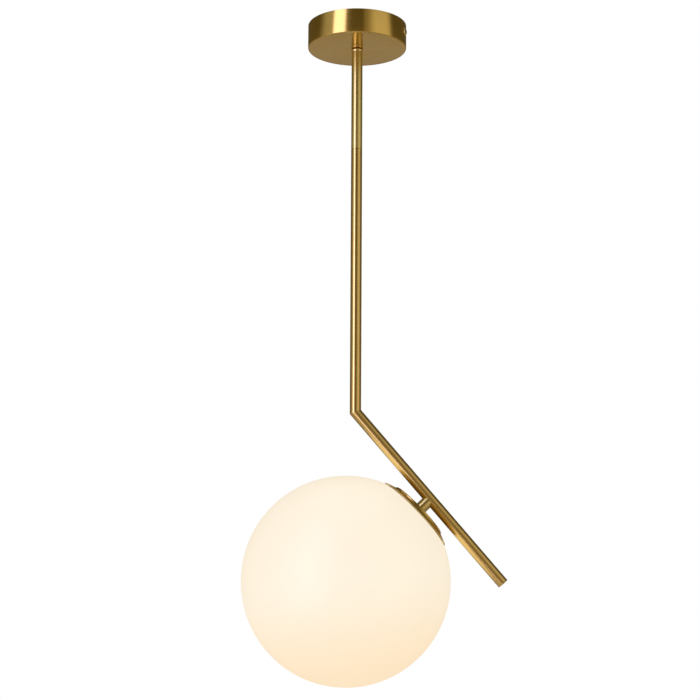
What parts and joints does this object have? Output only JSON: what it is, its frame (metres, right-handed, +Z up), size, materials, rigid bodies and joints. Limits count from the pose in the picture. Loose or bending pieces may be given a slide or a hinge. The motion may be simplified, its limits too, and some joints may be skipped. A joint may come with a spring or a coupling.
{
  "type": "pendant ceiling light",
  "caption": "Brass rod pendant with a cup canopy, an angled lower arm and a tilted opal glass globe hung under the arm on a stem and a dished cap.",
  "frame": {"origin": "on the ceiling plane, at the middle of the canopy, on the rod's axis", "axes": "+Z up into the ceiling, +X the way the lower arm leans, rod down -Z"},
  "size_m": [0.2549, 0.1994, 0.6552],
  "materials": {
    "brushed_brass": "satin brushed, clear lacquered",
    "polished_brass": "polished",
    "plain_brass": "as machined",
    "zinc_steel": "zinc plated",
    "turned_aluminium": "as turned",
    "opal_glass": "glossy opal, three-layer, lit from inside",
    "lamp_diffuser": "frosted, lit from inside",
    "white_plastic": "moulded satin",
    "black_plastic": "moulded satin",
    "steatite": "unglazed",
    "gasket_rubber": "matt silicone",
    "circuit_board": "solder mask",
    "cable_sheath": "smooth",
    "live_core": "smooth",
    "neutral_core": "smooth",
    "earth_core": "smooth"
  },
  "bodies": {
    "ceiling_side": {"mounting_bracket": "zinc_steel", "canopy": "brushed_brass", "side_screw_1": "polished_brass", "side_screw_2": "polished_brass", "stop_stud": "plain_brass", "terminal_block": "white_plastic", "terminal_tube_1": "plain_brass", "terminal_tube_2": "plain_brass", "terminal_screw_1": "zinc_steel", "terminal_screw_2": "zinc_steel", "terminal_screw_3": "zinc_steel", "terminal_screw_4": "zinc_steel", "earth_screw": "plain_brass", "earth_washer": "zinc_steel", "earth_lug": "plain_brass", "cable_tail": "cable_sheath", "live_lead": "live_core", "neutral_lead": "neutral_core", "earth_lead": "earth_core"},
    "hanging_frame": {"top_nipple": "zinc_steel", "hex_nut": "zinc_steel", "lock_washer": "zinc_steel", "tab_washer": "zinc_steel", "rod_collar": "polished_brass", "upper_tube": "brushed_brass", "coupling_nipple": "zinc_steel", "bent_arm": "brushed_brass", "arm_end_plug": "brushed_brass", "stem": "brushed_brass", "cap_boss": "brushed_brass", "cap_dish": "brushed_brass", "head_nipple": "zinc_steel", "thread_hub": "turned_aluminium", "head_nut": "zinc_steel", "lampholder_cap": "black_plastic", "lampholder_body": "black_plastic", "contact_block": "steatite", "centre_contact": "plain_brass", "holder_shell": "plain_brass", "cord_grip": "white_plastic", "holder_live_lead": "live_core", "holder_neutral_lead": "neutral_core", "lamp_cable": "cable_sheath"},
    "globe_thread": {"globe_gasket": "gasket_rubber"},
    "globe": {"glass_globe": "opal_glass", "neck_ring": "turned_aluminium"},
    "lamp_thread": {"lamp_tip_contact": "plain_brass"},
    "lamp": {"lamp_cap_shell": "turned_aluminium", "lamp_insulator": "black_plastic", "lamp_housing": "white_plastic", "lamp_driver_board": "circuit_board", "lamp_led_board": "turned_aluminium", "lamp_diffuser": "lamp_diffuser"}
  },
  "joints": [
    {"name": "rod_swivel", "type": "hinge", "parent": "ceiling_side", "child": "hanging_frame", "pos_m": [0, 0, -0.0245], "axis": [0, 0, 1], "range_deg": [-160, 160]},
    {"name": "globe_travel", "type": "slide", "parent": "hanging_frame", "child": "globe_thread", "axis": [-0.7193, 0, -0.6947], "range_m": [0, 0.006]},
    {"name": "globe_turn", "type": "hinge", "parent": "globe_thread", "child": "globe", "pos_m": [-0.00844, 0, -0.55525], "axis": [-0.7193, 0, -0.6947], "range_deg": [0, 720]},
    {"name": "lamp_travel", "type": "slide", "parent": "hanging_frame", "child": "lamp_thread", "axis": [-0.7193, 0, -0.6947], "range_m": [0, 0.01452]},
    {"name": "lamp_turn", "type": "hinge", "parent": "lamp_thread", "child": "lamp", "pos_m": [-0.00844, 0, -0.55525], "axis": [-0.7193, 0, -0.6947], "range_deg": [0, 1440]}
  ],
  "couplings": [
    {"joint": "globe_travel", "follows": "globe_turn", "m_per_rad": 0.00047746},
    {"joint": "lamp_travel", "follows": "lamp_turn", "m_per_rad": 0.00057757}
  ]
}
